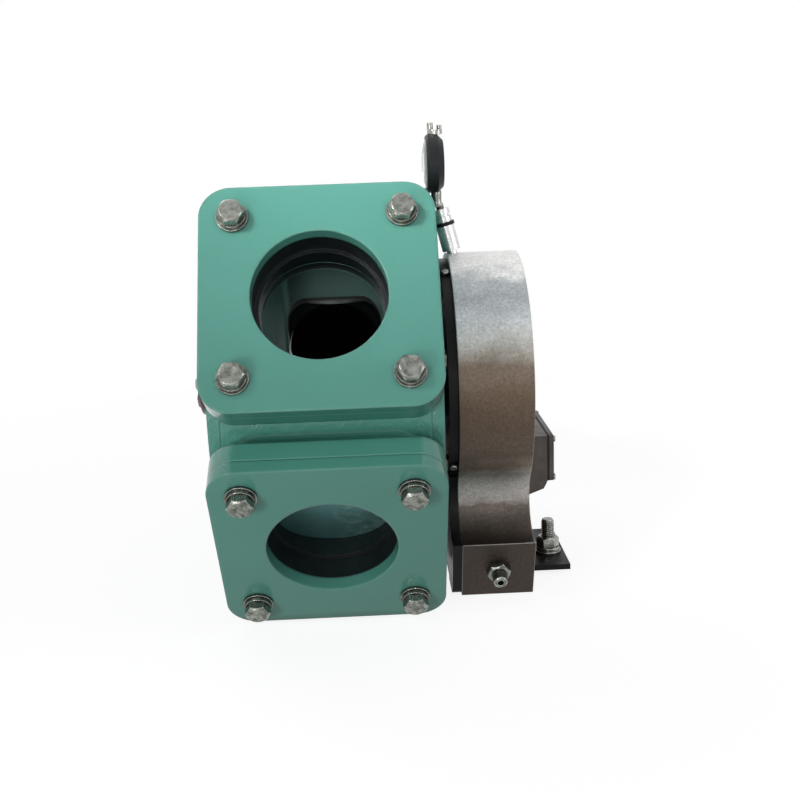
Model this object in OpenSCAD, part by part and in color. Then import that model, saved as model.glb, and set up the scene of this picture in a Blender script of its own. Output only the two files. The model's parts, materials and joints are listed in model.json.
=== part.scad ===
// Plug diverter valve, one inlet at the back and two outlets at the front.
// +Y is the inlet's outward direction, +X points to the actuator, +Z is up.
// The origin is the centre of the inlet's face, the plug axis lies along X.

/* [Ports] */
// Angle between the two outlets, in degrees
port_angle = 60; // [54:1:66]
// How far the face of each port stands out from the round body
port_rise = 31; // [29:1:48]
// Inner diameter of the clamp plates and of the pipe socket
socket_d = 102; // [90:1:104]
// Inner diameter of the passage behind the pipe
passage_d = 96; // [80:1:98]
// Length of the pipe socket, from the port's face
socket_depth = 32; // [24:1:36]

/* [Flanges] */
// Side of the square pads and clamp plates
flange_size = 178; // [174:1:190]
// Corner radius of the square pads and clamp plates
flange_corner = 24; // [14:1:30]
// Thickness of a clamp plate
clamp_t = 12; // [8:1:14]
// Gap between the pads' undersides and the round body's surface
pad_lift = 1; // [1:0.5:3]
// Diameter of the bolt circle
bolt_circle_d = 180; // [176:1:186]
// Diameter of the flange bolts
flange_bolt_d = 12; // [10:1:12]
// Length of a flange bolt under its head
flange_bolt_l = 40; // [34:1:42]

/* [Body] */
// Wall of the round body
body_wall = 12; // [11:1:14]
// Inner radius of the chamber that the plug turns in
chamber_r = 155; // [148:1:165]
// Length of the body between its end covers
barrel_l = 160; // [158:1:170]
// How far the square necks of the pads stay inside the body's ends
neck_step = 4; // [2:1:8]
// Outer diameter of a port sleeve
sleeve_od = 118; // [112:1:122]

/* [Plug] */
// Gap between the plug and the chamber wall
plug_gap = 0.3; // [0.2:0.1:0.6]
// Thickness of the plug's drum wall
plug_wall = 12; // [8:1:16]
// Gap between the plug's ends and the end covers
plug_end_gap = 0.4; // [0.3:0.1:1]
// Radius of the shafts
shaft_r = 18; // [16:1:20]
// Radial running clearance of the shafts in their bearings
shaft_run = 0.04; // [0.02:0.01:0.08]
// Thickness left between the lightening pockets and the plug's hollow
pocket_floor = 8.6; // [6:0.2:12]

/* [End covers] */
// Thickness of an end cover
cover_t = 10; // [10:1:12]
// Length of the cover's spigot inside the chamber
spigot_l = 6; // [4:1:8]
// Number of bolts in an end cover
cover_bolts = 12; // [8:2:16]
// Outer radius of the bearing housing on a cover
hub_r = 38; // [34:1:42]
// Length of the left bearing housing outside its cover
left_hub_l = 14; // [13:1:20]
// Radius of the indicator cap
cap_r = 28; // [24:1:32]
// Length of the indicator cap
cap_l = 14; // [12:1:20]

/* [Mounting plate] */
// Free space between the body and the mounting plate
plate_gap = 8; // [8:1:12]
// Thickness of the mounting plate
plate_t = 8; // [6:1:10]

/* [Actuator] */
// Outer radius of the round part of the housing
housing_r = 109; // [106:1:114]
// Length of the housing along the plug axis
housing_l = 62; // [58:1:70]
// Wall of the housing round its chamber
housing_wall = 12; // [10:1:14]
// Thickness of the housing's closed end
housing_end_t = 12; // [10:1:14]
// Thickness of the cover that is let into the open end
housing_cover_t = 10; // [8:1:12]
// Half of the foot's width at its upper corners
foot_half_w = 108; // [104:1:114]
// Distance of the foot's upper corners below the axis
foot_corner_z = 125; // [120:1:130]
// Distance of the foot's bottom below the axis
foot_bottom = 179; // [174:1:186]
// Tilt of the foot's front and rear faces, in degrees
foot_tilt = 22; // [16:1:26]
// Radius of the hollow between the round part and the foot
waist_r = 30; // [29:1:44]
// Radius of the rotor's hub
rotor_hub_r = 30; // [28:1:34]
// Thickness of the vane
vane_t = 12; // [10:1:16]
// Diameter of the throttle screws in the foot
throttle_d = 12; // [10:1:12]
// Length of a throttle screw in front of its lock nut
throttle_end = 8; // [5:1:12]

/* [Bracket] */
// Width of the bracket plate, front to rear
bracket_w = 96; // [80:1:98]
// Distance that the bracket plate reaches past the housing
bracket_reach = 40; // [36:1:50]
// Thickness of the bracket plate
bracket_t = 5; // [4:0.5:6]
// Diameter of the upright stud
stud_d = 12; // [10:1:12]
// Height of the upright stud above the bracket plate
stud_h = 32; // [24:1:40]

/* [Connection box] */
// Size of the box, front to rear
box_w = 100; // [80:1:110]
// Height of the box
box_h = 48; // [42:1:50]
// Depth of the box's base, along the plug axis
box_base_l = 19; // [16:1:24]
// Thickness of the box's cover
box_cover_l = 4; // [3:1:6]
// Distance of the box's top below the plug axis
box_top = 49; // [49:1:52]

/* [Regulator and gauge] */
// Lean of the regulator, in degrees
regulator_lean = 14; // [8:1:16]
// Diameter of the regulator's barrel
regulator_d = 16; // [14:1:20]
// Length of the regulator's barrel
regulator_l = 26; // [22:1:30]
// Diameter of the gauge
gauge_d = 50; // [46:1:54]
// Depth of the gauge's case
gauge_l = 13; // [12:1:16]
// Height of the gauge's centre above the top of the housing
gauge_rise = 78; // [76:1:86]

/* [Hidden] */

$fn = 96;
hex_fn = 6;
cut = 1;
fit_gap = 0.1;
free_gap = 0.4;

// The three port directions, measured up from the front
upper_a = port_angle / 2;
lower_a = -port_angle / 2;
inlet_a = 180;
port_dirs = [upper_a, lower_a, inlet_a];

socket_r = socket_d / 2;
passage_r = passage_d / 2;
sleeve_r = sleeve_od / 2;
body_r = chamber_r + body_wall;
port_face = body_r + port_rise;
pad_top = port_face - clamp_t;
pad_t = port_rise - clamp_t - pad_lift;
neck_size = barrel_l - 2 * neck_step;
bolt_step = bolt_circle_d / sqrt(2) / 2;
bolt_corners = [for (x = [-1, 1], y = [-1, 1]) [x * bolt_step, y * bolt_step]];

washer_t = 2.5;
spring_t = 3.2;
head_h = 8;
flange_bolt_r = flange_bolt_d / 2;
flange_hole_r = flange_bolt_r + 0.75;
head_af = flange_bolt_d * 1.5;

half_barrel = barrel_l / 2;
body_end = half_barrel + cover_t;
plug_r = chamber_r - plug_gap;
plug_half = half_barrel - spigot_l - plug_end_gap;
cover_r = body_r - 0.5;
seal_w = 6;
seal_wall = 6;
ring_w = 3;
ring_groove = 3.2;
cover_bolt_d = 6;
cover_bolt_circle_r = (chamber_r + body_r) / 2 - 0.5;
cover_hole_r = cover_bolt_d / 2 + 0.3;
cover_bolt_l = 18;
cover_thread_l = cover_bolt_l;
bearing_wall = 4;
bearing_l = 14;
bearing_r = shaft_r + bearing_wall;

left_hub_end = body_end + left_hub_l;
cap_start = left_hub_end + 1;
cap_end = cap_start + cap_l;

right_hub_end = body_end + plate_gap;
plate_end = right_hub_end + plate_t;
housing_end = plate_end + housing_l;
inner_start = plate_end + housing_cover_t;
inner_end = housing_end - housing_end_t;
inner_r = housing_r - housing_wall;
plate_r = housing_r - 5;

// Centre of the hollow between the round part and the foot
corner_dist = norm([foot_half_w, foot_corner_z]);
waist_dist = housing_r + waist_r;
corner_turn = acos((waist_dist * waist_dist + corner_dist * corner_dist - waist_r * waist_r)
  / (2 * waist_dist * corner_dist));
waist_a = atan2(foot_corner_z, foot_half_w) - corner_turn;
waist_y = waist_dist * cos(waist_a);
waist_z = -waist_dist * sin(waist_a);
waist_start = housing_r + 5;
foot_base_w = foot_half_w - (foot_bottom - foot_corner_z) * tan(foot_tilt);
slot_depth = 9;

// The vane hangs down and swings as far as the plug turns
half_swing = port_angle / 2;
rest_turn = -half_swing;
vane_reach = inner_r - free_gap;
vane_seal_h = 4;
vane_side_gap = 0.4;
room_l = inner_end - inner_start;
bush_r = 24;
journal_r = 20;
square_side = 25;
square_start = plate_end + 1;
shoe_w = 6;

// Throttle screws, one in each sloping face of the foot
throttle_y = (foot_half_w + foot_base_w) / 2;
throttle_z = (foot_corner_z + foot_bottom) / 2;
throttle_depth = 26;
throttle_out = 9;
duct_r = 4;

edge_screw_angles = [66, -37];
edge_screw_seat = 0.5;
edge_screw_l = 5;
edge_screw_r = 2.5;
edge_screw_af = 0.8 * plate_t;
plate_bolt_d = 8;
plate_bolt_circle_r = hub_r - 9;
plate_bolt_count = 4;
plate_bolt_l = 20;
actuator_bolt_d = 10;
actuator_bolt_circle_r = plate_r - 12;
actuator_bolt_angles = [18, 66, 114, 162, 227, 313];
actuator_bolt_grip = 16;
actuator_bolt_l = plate_t + housing_cover_t + actuator_bolt_grip;

air_port_r = 6.5;
air_port_l = 10;
air_port_y = 52;
air_port_z = 42;

bracket_top = foot_bottom - slot_depth;
bracket_end = housing_end + bracket_reach;
stud_x = bracket_end - 15;
stud_y = -14;
bracket_bolt_d = 8;
bracket_bolt_side = 28;
bracket_bolt_edge = 16;
bracket_bolt_l = 20;
bracket_hole_r = 5.5;
stud_nut_h = 10;

box_gasket_l = 2;
box_wall = 3;
box_inset = 7;
box_face_h = box_h - 6;
box_end = housing_end + box_base_l;
entry_r = 6;
box_screw_r = 2;
box_screw_l = 14;
box_screw_inset = 3.6;
block_way = 8;
block_ways = 6;
block_t = 11;
block_h = 16;

regulator_x = plate_end + 6;
regulator_z = housing_r - 1;
collar_h = 3;
cap_plate_h = 12;
gauge_seat = 4.5;
gauge_z = max(housing_r + gauge_rise, cover_r + gauge_d / 2 - gauge_seat);
bezel_l = 2;
gauge_face = body_end + bezel_l + free_gap;
glass_rise = 4;
gauge_r = gauge_d / 2;
gauge_mid = gauge_face + gauge_l / 2;
needle_rest = 135;
stem_r = 3.5;
stem_neck_r = 4.5;
regulator_top = regulator_l + collar_h + cap_plate_h;
spud_r = 4.5;
indicator_screw_r = 3;
hollow_half = passage_r + 3;
shaft_seat = plug_half - hollow_half - 3;
pocket_depth = plug_half - hollow_half - pocket_floor;
boss_r = shaft_r + 14;
web_t = 8;
hollow_corner = 8;
window_corner = 20;
window_reach = sqrt(plug_r * plug_r - passage_r * passage_r);
window_h = 2 * (window_reach * sin(half_swing) + passage_r * cos(half_swing));

module at_plug_axis() {
  translate([0, -port_face, 0]) children();
}

// Local +Z points out of the port, local X stays along the plug axis
module at_port(a) {
  at_plug_axis() rotate([90 - a, 0, 0]) children();
}

// A shape drawn in front-to-rear and height, pulled along the plug axis
module along_axis(x, l) {
  at_plug_axis() translate([x, 0, 0]) rotate([90, 0, 90]) linear_extrude(l) children();
}

module axis_cylinder(x, l, r) {
  at_plug_axis() translate([x, 0, 0]) rotate([0, 90, 0]) cylinder(h = l, r = r);
}

module axis_tube(x, l, r_out, r_in) {
  difference() {
    axis_cylinder(x, l, r_out);
    axis_cylinder(x - cut, l + 2 * cut, r_in);
  }
}

module rounded_square(size, r) {
  square([size[0] - 2 * r, size[1]], center = true);
  square([size[0], size[1] - 2 * r], center = true);
  for (x = [-1, 1], y = [-1, 1]) {
    translate([x * (size[0] / 2 - r), y * (size[1] / 2 - r)]) circle(r);
  }
}

module tube(h, r_out, r_in) {
  difference() {
    cylinder(h = h, r = r_out);
    translate([0, 0, -cut]) cylinder(h = h + 2 * cut, r = r_in);
  }
}

// A hexagon head or nut with its corners turned down
module hex_head(af, h, bore_r = 0) {
  corner_r = af / 2 / cos(30);
  drop = 0.12 * af;
  difference() {
    intersection() {
      cylinder(h = h, r = corner_r, $fn = hex_fn);
      union() {
        cylinder(h = h - drop, r = corner_r + cut);
        translate([0, 0, h - drop]) cylinder(h = drop, r1 = corner_r, r2 = af / 2 - drop / 2);
      }
    }
    if (bore_r > 0) translate([0, 0, -cut]) cylinder(h = h + 2 * cut, r = bore_r);
  }
}

// Head up, shank down, the head's underside at height 0
module hex_bolt(d, shank_l, h) {
  hex_head(1.5 * d, h);
  translate([0, 0, -shank_l]) cylinder(h = shank_l + cut / 2, r = d / 2 - fit_gap / 2);
}

module socket_screw(d, shank_l) {
  head_r = 0.8 * d;
  difference() {
    cylinder(h = d, r = head_r);
    translate([0, 0, d / 2]) cylinder(h = d, r = 0.45 * d, $fn = hex_fn);
  }
  translate([0, 0, -shank_l]) cylinder(h = shank_l + cut / 2, r = d / 2 - fit_gap / 2);
}

module split_ring(h, r_out, r_in) {
  gap_w = 1.6;
  difference() {
    tube(h, r_out, r_in);
    translate([0, -gap_w / 2, -cut]) cube([r_out + cut, gap_w, h + 2 * cut]);
  }
}

module at_bolt_corners() {
  for (c = bolt_corners) translate([c[0], c[1], 0]) children();
}

// Cover bolts, evenly round the plug axis
module at_cover_bolts() {
  for (i = [0:cover_bolts - 1]) {
    at_plug_axis() rotate([(i + 0.5) * 360 / cover_bolts, 0, 0]) translate([0, 0, cover_bolt_circle_r])
      children();
  }
}

module valve_body() {
  color("mediumseagreen") difference() {
    union() {
      axis_cylinder(-half_barrel, barrel_l, body_r);
      for (a = port_dirs) at_port(a) {
        translate([0, 0, pad_top - pad_t]) linear_extrude(pad_t) {
          rounded_square([flange_size, flange_size], flange_corner);
        }
        linear_extrude(pad_top - cut) rounded_square([neck_size, neck_size], flange_corner);
      }
    }
    axis_cylinder(-half_barrel - cut, barrel_l + 2 * cut, chamber_r);
    for (a = port_dirs) at_port(a) {
      cylinder(h = port_face, r = sleeve_r);
      translate([0, 0, port_face - flange_bolt_l]) at_bolt_corners() {
        cylinder(h = flange_bolt_l, r = flange_bolt_r);
      }
    }
    for (s = [-1, 1]) at_cover_bolts() translate([s * half_barrel, 0, 0]) rotate([0, 90, 0]) {
      cylinder(h = 2 * cover_thread_l, r = cover_bolt_d / 2, center = true);
    }
  }
}

module clamp_plate(a) {
  color("mediumseagreen") at_port(a) difference() {
    translate([0, 0, pad_top]) linear_extrude(clamp_t) {
      rounded_square([flange_size, flange_size], flange_corner);
    }
    translate([0, 0, pad_top - cut]) cylinder(h = clamp_t + 2 * cut, r = socket_r);
    translate([0, 0, pad_top - cut]) at_bolt_corners() {
      cylinder(h = clamp_t + 2 * cut, r = flange_hole_r);
    }
  }
}

module upper_clamp_plate() {
  clamp_plate(upper_a);
}

module lower_clamp_plate() {
  clamp_plate(lower_a);
}

module inlet_clamp_plate() {
  clamp_plate(inlet_a);
}

// The sleeve seals on the plug, so its inner end has the chamber's curve
module port_sleeve(a) {
  color("dimgray") difference() {
    at_port(a) {
      translate([0, 0, chamber_r / 2]) {
        tube(pad_top - chamber_r / 2, sleeve_r - fit_gap / 2, passage_r);
      }
    }
    axis_cylinder(-body_end, 2 * body_end, chamber_r);
    at_port(a) translate([0, 0, port_face - socket_depth]) cylinder(h = port_face, r = socket_r);
  }
}

module upper_port_sleeve() {
  port_sleeve(upper_a);
}

module lower_port_sleeve() {
  port_sleeve(lower_a);
}

module inlet_port_sleeve() {
  port_sleeve(inlet_a);
}

module flange_bolts() {
  color("silver") for (a = port_dirs) at_port(a) {
    translate([0, 0, port_face + washer_t + spring_t]) at_bolt_corners() {
      hex_bolt(flange_bolt_d, flange_bolt_l, head_h);
    }
  }
}

module flange_washers() {
  color("lightgray") for (a = port_dirs) at_port(a) translate([0, 0, port_face]) {
    at_bolt_corners() tube(washer_t, flange_bolt_d, flange_bolt_r + 0.5);
  }
}

module flange_spring_washers() {
  color("lightgray") for (a = port_dirs) at_port(a) translate([0, 0, port_face + washer_t]) {
    at_bolt_corners() split_ring(spring_t, 0.88 * flange_bolt_d, flange_bolt_r + 0.2);
  }
}

// A cover outline on one end; side is -1 on the left and 1 on the right
module end_cover(side, hub_l) {
  disc_x = side > 0 ? half_barrel : -half_barrel - cover_t;
  spigot_x = side > 0 ? half_barrel - spigot_l : -half_barrel;
  hub_x = side > 0 ? body_end : -body_end - hub_l;
  bore_x = side > 0 ? half_barrel - spigot_l : -body_end - hub_l;
  bore_l = cover_t + spigot_l + hub_l;
  seat_x = side > 0 ? right_hub_end - bearing_l : -left_hub_end;
  head_x = side > 0 ? body_end : -body_end;
  groove_x = side * (half_barrel - 1.2) - (side > 0 ? ring_groove : 0);
  difference() {
    union() {
      axis_cylinder(disc_x, cover_t, cover_r);
      difference() {
        axis_cylinder(spigot_x, spigot_l, chamber_r - fit_gap);
        axis_tube(groove_x, ring_groove, chamber_r, chamber_r - ring_w);
      }
      axis_cylinder(hub_x, hub_l, hub_r);
    }
    axis_cylinder(bore_x - cut, bore_l + 2 * cut, shaft_r + free_gap);
    axis_cylinder(side > 0 ? seat_x : seat_x - cut, bearing_l + cut, bearing_r);
    axis_cylinder(side > 0 ? half_barrel - spigot_l - cut : -half_barrel + spigot_l - seal_w,
      seal_w + cut, shaft_r + seal_wall);
    at_cover_bolts() translate([head_x, 0, 0]) rotate([0, 90, 0]) {
      cylinder(h = 2 * cover_bolt_d, r = 0.85 * cover_bolt_d, center = true);
      cylinder(h = 3 * cover_t, r = cover_hole_r, center = true);
    }
  }
}

module left_end_cover() {
  rib_count = 6;
  rib_t = 8;
  color("mediumseagreen") {
    end_cover(-1, left_hub_l);
    for (i = [0:rib_count - 1]) at_plug_axis() rotate([i * 360 / rib_count, 0, 0]) {
      rib_l = cover_bolt_circle_r - 12 - hub_r + cut;
      translate([-body_end, 0, hub_r - cut]) rotate([90, 0, 0]) {
        linear_extrude(rib_t, center = true) polygon([
          [0, 0], [-left_hub_l + 2, 0], [-4, rib_l], [0, rib_l]
        ]);
      }
    }
  }
}

module right_end_cover() {
  color("mediumseagreen") difference() {
    end_cover(1, plate_gap);
    at_plate_bolts() translate([0, 0, -plate_bolt_l - 2]) {
      cylinder(h = plate_bolt_l + 2, r = plate_bolt_d / 2);
    }
  }
}

module cover_bolt_set(side) {
  color("silver") at_cover_bolts() {
    translate([side * (body_end - cover_bolt_d), 0, 0]) rotate([0, side * 90, 0]) {
      socket_screw(cover_bolt_d, cover_bolt_l);
    }
  }
}

module cover_bolts_left() {
  cover_bolt_set(-1);
}

module cover_bolts_right() {
  cover_bolt_set(1);
}

// Seal rings in the grooves of the spigots
module cover_seals() {
  color("black") for (side = [-1, 1]) {
    x = side * (half_barrel - 1.3) - (side > 0 ? ring_w : 0);
    axis_tube(x, ring_w, chamber_r - fit_gap / 2, chamber_r - ring_w + fit_gap / 2);
  }
}

module left_bearing() {
  color("darkgoldenrod") {
    axis_tube(-left_hub_end, bearing_l, bearing_r, shaft_r + shaft_run);
  }
}

module right_bearing() {
  color("darkgoldenrod") {
    axis_tube(right_hub_end - bearing_l, bearing_l, bearing_r, shaft_r + shaft_run);
  }
}

module shaft_seals() {
  color("black") {
    axis_tube(-half_barrel + spigot_l - seal_w, seal_w, shaft_r + seal_wall, shaft_r + shaft_run);
    axis_tube(half_barrel - spigot_l, seal_w, shaft_r + seal_wall, shaft_r + shaft_run);
  }
}

// The plug's hollow, flat on both sides, with rounded corners all round
module plug_hollow() {
  inner = plug_r - plug_wall;
  at_plug_axis() rotate([0, 90, 0]) rotate_extrude() intersection() {
    rounded_square([2 * inner, 2 * hollow_half], hollow_corner);
    translate([0, -hollow_half]) square([inner, 2 * hollow_half]);
  }
}

// Wide enough to stay on the inlet while the plug turns to the other outlet
module plug_window() {
  at_port(inlet_a + half_swing) linear_extrude(chamber_r + cut) {
    rounded_square([passage_d, window_h], window_corner);
  }
}

// Lightening pocket in one end, with three webs across
module plug_pocket(x) {
  difference() {
    axis_tube(x, pocket_depth + cut, plug_r - 14, boss_r);
    for (i = [0:2]) at_plug_axis() rotate([i * 60, 0, 0]) {
      translate([x - cut, -web_t / 2, -plug_r]) cube([pocket_depth + 3 * cut, web_t, 2 * plug_r]);
    }
  }
}

// A hollow drum: a round hole for the outlet, a wide window for the inlet
module plug() {
  color("slategray") difference() {
    axis_cylinder(-plug_half, 2 * plug_half, plug_r);
    plug_hollow();
    at_port(upper_a) cylinder(h = chamber_r + cut, r = passage_r);
    plug_window();
    plug_pocket(-plug_half - cut);
    plug_pocket(plug_half - pocket_depth);
    axis_cylinder(-plug_half - cut, shaft_seat + cut, shaft_r + fit_gap / 2);
    axis_cylinder(plug_half - shaft_seat, shaft_seat + cut, shaft_r + fit_gap / 2);
  }
}

module idle_shaft() {
  color("lightsteelblue") difference() {
    axis_cylinder(-cap_start - 6, cap_start + 6 - plug_half + shaft_seat, shaft_r);
    axis_cylinder(-cap_start - 6 - cut, 20, indicator_screw_r);
  }
}

module drive_shaft() {
  color("lightsteelblue") {
    axis_cylinder(plug_half - shaft_seat, square_start - plug_half + shaft_seat, shaft_r);
    along_axis(square_start - cut, inner_end - square_start + cut) {
      square(square_side, center = true);
    }
  }
}

// A hollow cap with a flat pointer bar across its face
module indicator_cap() {
  color("maroon") difference() {
    union() {
      axis_cylinder(-cap_end + 3, cap_l - 3, cap_r);
      at_plug_axis() translate([-cap_end, 0, 0]) rotate([0, 90, 0]) {
        cylinder(h = 3, r1 = cap_r - 3, r2 = cap_r);
      }
    }
    axis_cylinder(-cap_start - 6 - fit_gap, 6 + fit_gap + cut, shaft_r + fit_gap);
    axis_cylinder(-cap_end - cut, cap_l + 2 * cut, indicator_screw_r + fit_gap);
    for (s = [-1, 1]) at_plug_axis() rotate([upper_a, 0, 0]) {
      translate([-cap_end - cut, -cap_r, s > 0 ? 5 : -5 - cap_r]) cube([3, 2 * cap_r, cap_r]);
    }
  }
}

module indicator_screw() {
  color("silver") at_plug_axis() translate([-cap_end, 0, 0]) rotate([0, -90, 0]) {
    hex_head(10, 4);
    translate([0, 0, -14]) cylinder(h = 14 + cut, r = indicator_screw_r - fit_gap / 2);
  }
}

// Outline of the actuator housing: round part, hollow waist, foot
module housing_outline(r) {
  difference() {
    union() {
      circle(r);
      polygon([
        [0, 0],
        [-waist_start * cos(waist_a), -waist_start * sin(waist_a)],
        [-foot_half_w, -foot_corner_z],
        [-foot_base_w, -foot_bottom],
        [foot_base_w, -foot_bottom],
        [foot_half_w, -foot_corner_z],
        [waist_start * cos(waist_a), -waist_start * sin(waist_a)]
      ]);
    }
    for (s = [-1, 1]) translate([s * waist_y, waist_z]) circle(waist_r + free_gap);
  }
}

// Local +Z points right, the origin on the mounting plate's outer face
module at_plate_bolts() {
  for (i = [0:plate_bolt_count - 1]) {
    at_plug_axis() rotate([45 + i * 360 / plate_bolt_count, 0, 0]) {
      translate([right_hub_end + plate_t, 0, plate_bolt_circle_r]) rotate([0, 90, 0]) children();
    }
  }
}

// Local +Z points left, the origin on the mounting plate's inner face
module at_actuator_bolts() {
  for (a = actuator_bolt_angles) {
    at_plug_axis() rotate([a, 0, 0]) {
      translate([right_hub_end, actuator_bolt_circle_r, 0]) rotate([0, -90, 0]) children();
    }
  }
}

module mounting_plate() {
  corner_cut = 10;
  color("black") difference() {
    along_axis(right_hub_end, plate_t) difference() {
      housing_outline(plate_r);
      circle(shaft_r + 1);
      for (s = [-1, 1]) translate([s * foot_base_w, -foot_bottom]) rotate(45) {
        square(corner_cut, center = true);
      }
      foot_slot();
    }
    at_plate_bolts() {
      translate([0, 0, -2 * plate_t]) cylinder(h = 3 * plate_t, r = plate_bolt_d / 2 + 0.4);
      translate([0, 0, -4]) cylinder(h = 4 + cut, r = plate_bolt_d * 0.85);
    }
    at_actuator_bolts() {
      translate([0, 0, -2 * plate_t]) cylinder(h = 3 * plate_t, r = actuator_bolt_d / 2 + 0.4);
    }
    at_edge_screws() {
      translate([0, 0, -edge_screw_seat]) cylinder(h = 2 * plate_t, r = 0.7 * plate_t);
      translate([0, 0, -edge_screw_l - 0.5]) cylinder(h = 2 * plate_t, r = edge_screw_r);
    }
  }
}

// Local +Z points out of the mounting plate's edge, in front
module at_edge_screws() {
  for (a = edge_screw_angles) at_plug_axis() rotate([-a, 0, 0]) {
    translate([(right_hub_end + plate_end) / 2, -plate_r, 0]) rotate([90, 0, 0]) children();
  }
}

module plate_edge_screws() {
  color("silver") at_edge_screws() {
    translate([0, 0, -edge_screw_seat]) hex_head(edge_screw_af, 4);
    translate([0, 0, -edge_screw_l]) cylinder(h = edge_screw_l, r = edge_screw_r - fit_gap / 2);
  }
}

module plate_bolts() {
  flat_h = 4;
  color("silver") at_plate_bolts() {
    difference() {
      translate([0, 0, -flat_h]) cylinder(h = flat_h, r = plate_bolt_d * 0.8);
      translate([0, 0, -flat_h / 2]) cylinder(h = flat_h, r = plate_bolt_d * 0.35, $fn = hex_fn);
    }
    translate([0, 0, -plate_bolt_l]) {
      cylinder(h = plate_bolt_l - flat_h + cut / 2, r = plate_bolt_d / 2 - fit_gap / 2);
    }
  }
}

module actuator_bolts() {
  color("silver") at_actuator_bolts() hex_bolt(actuator_bolt_d, actuator_bolt_l, plate_gap - 1.6);
}

module foot_slot() {
  translate([-bracket_w / 2 - free_gap, -foot_bottom - cut]) {
    square([bracket_w + 2 * free_gap, slot_depth + cut]);
  }
}

// The fan-shaped room below the hub; its ends stop the vane
module vane_room() {
  side = vane_t / 2 + vane_side_gap;
  far = 2 * inner_r;
  intersection() {
    circle(inner_r);
    union() {
      polygon([
        [0, 0],
        [-far * sin(half_swing), -far * cos(half_swing)],
        [far * sin(half_swing), -far * cos(half_swing)]
      ]);
      for (s = [-1, 1]) rotate(s * half_swing) translate([-side, -far]) square([2 * side, far]);
    }
  }
}

// Local +Z points out of the foot's sloping face; side is -1 in front
module at_throttle(side) {
  at_plug_axis() translate([(plate_end + housing_end) / 2, side * throttle_y, -throttle_z]) {
    rotate([-side * (90 + foot_tilt), 0, 0]) children();
  }
}

// Air duct from the end of a throttle hole up into the vane's room
module air_duct(side) {
  y = side * (throttle_y - throttle_depth * cos(foot_tilt));
  z = -throttle_z + throttle_depth * sin(foot_tilt);
  duct_top = -inner_r * cos(half_swing) + duct_r;
  at_plug_axis() translate([(plate_end + housing_end) / 2, side * inner_r * sin(half_swing), z]) {
    cylinder(h = duct_top - z, r = duct_r);
  }
}

module actuator_housing() {
  color("darkgray") difference() {
    along_axis(plate_end, housing_l) difference() {
      housing_outline(housing_r);
      foot_slot();
    }
    along_axis(inner_start, room_l) vane_room();
    axis_cylinder(plate_end - cut, housing_cover_t + cut, inner_r + fit_gap);
    axis_cylinder(inner_start - cut, room_l + cut, rotor_hub_r + free_gap);
    along_axis(inner_start, room_l) shoe_slots(fit_gap / 2);
    axis_cylinder(inner_end - cut, housing_end_t - 3 + cut, bush_r);
    axis_cylinder(inner_end - cut, housing_end_t + 2 * cut, journal_r + free_gap);
    for (s = [-1, 1]) {
      at_throttle(s) translate([0, 0, -throttle_depth - 8]) {
        cylinder(h = throttle_depth + 9, r = throttle_d / 2);
      }
      air_duct(s);
    }
    at_actuator_bolts() translate([0, 0, -actuator_bolt_l - 3]) {
      cylinder(h = actuator_bolt_l, r = actuator_bolt_d / 2);
    }
    at_air_ports() cylinder(h = 2 * air_port_l, r = air_port_r, center = true);
    regulator_axis() translate([0, 0, -12]) cylinder(h = 14, r = spud_r);
    at_bracket_bolts() cylinder(h = bracket_bolt_l + 2, r = bracket_bolt_d / 2);
  }
}

module actuator_cover() {
  color("darkgray") difference() {
    axis_cylinder(plate_end, housing_cover_t, inner_r);
    axis_cylinder(plate_end - cut, housing_cover_t + 2 * cut, journal_r + free_gap);
    axis_cylinder(plate_end + 3, housing_cover_t, bush_r);
    at_actuator_bolts() translate([0, 0, -actuator_bolt_l - 3]) {
      cylinder(h = actuator_bolt_l, r = actuator_bolt_d / 2 + 0.4);
    }
  }
}

module rotor_bushes() {
  color("darkgoldenrod") {
    axis_tube(plate_end + 3, housing_cover_t - 3, bush_r, journal_r + shaft_run);
    axis_tube(inner_end, housing_end_t - 3, bush_r, journal_r + shaft_run);
  }
}

// Hub and vane in one piece, with journals at both ends
module vane_rotor() {
  color("gray") difference() {
    union() {
      along_axis(inner_start + free_gap, room_l - 2 * free_gap) {
        circle(rotor_hub_r);
        rotate(rest_turn) translate([-vane_t / 2, -vane_reach + vane_seal_h]) {
          square([vane_t, vane_reach - vane_seal_h]);
        }
      }
      axis_cylinder(plate_end + 3, housing_end - 6 - plate_end, journal_r);
    }
    along_axis(plate_end, inner_end - plate_end + free_gap) {
      square(square_side + fit_gap, center = true);
    }
  }
}

module vane_seal() {
  color("black") along_axis(inner_start + free_gap, room_l - 2 * free_gap) {
    rotate(rest_turn) translate([-vane_t / 2, -vane_reach]) square([vane_t, vane_seal_h]);
  }
}

module shoe_slots(grow) {
  for (s = [-1, 1]) {
    translate([s * (rotor_hub_r + shoe_w / 2), 0]) square(shoe_w + 2 * grow, center = true);
  }
}

// Strips in the housing that wipe the rotor's hub between the two rooms
module shoe_seals() {
  color("black") along_axis(inner_start + free_gap, room_l - 2 * free_gap) {
    difference() {
      shoe_slots(0);
      circle(rotor_hub_r + shaft_run);
    }
  }
}

// The end of the screw has a hexagon socket and a small chamfer
module throttle_screws() {
  r = throttle_d / 2 - fit_gap / 2;
  tip = throttle_out + throttle_end;
  color("silver") for (s = [-1, 1]) at_throttle(s) difference() {
    union() {
      translate([0, 0, -throttle_depth]) cylinder(h = throttle_depth + tip - 1, r = r);
      translate([0, 0, tip - 1]) cylinder(h = 1, r1 = r, r2 = r - 1);
    }
    translate([0, 0, tip - throttle_d / 2]) cylinder(h = throttle_d, r = throttle_d / 4, $fn = hex_fn);
  }
}

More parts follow.
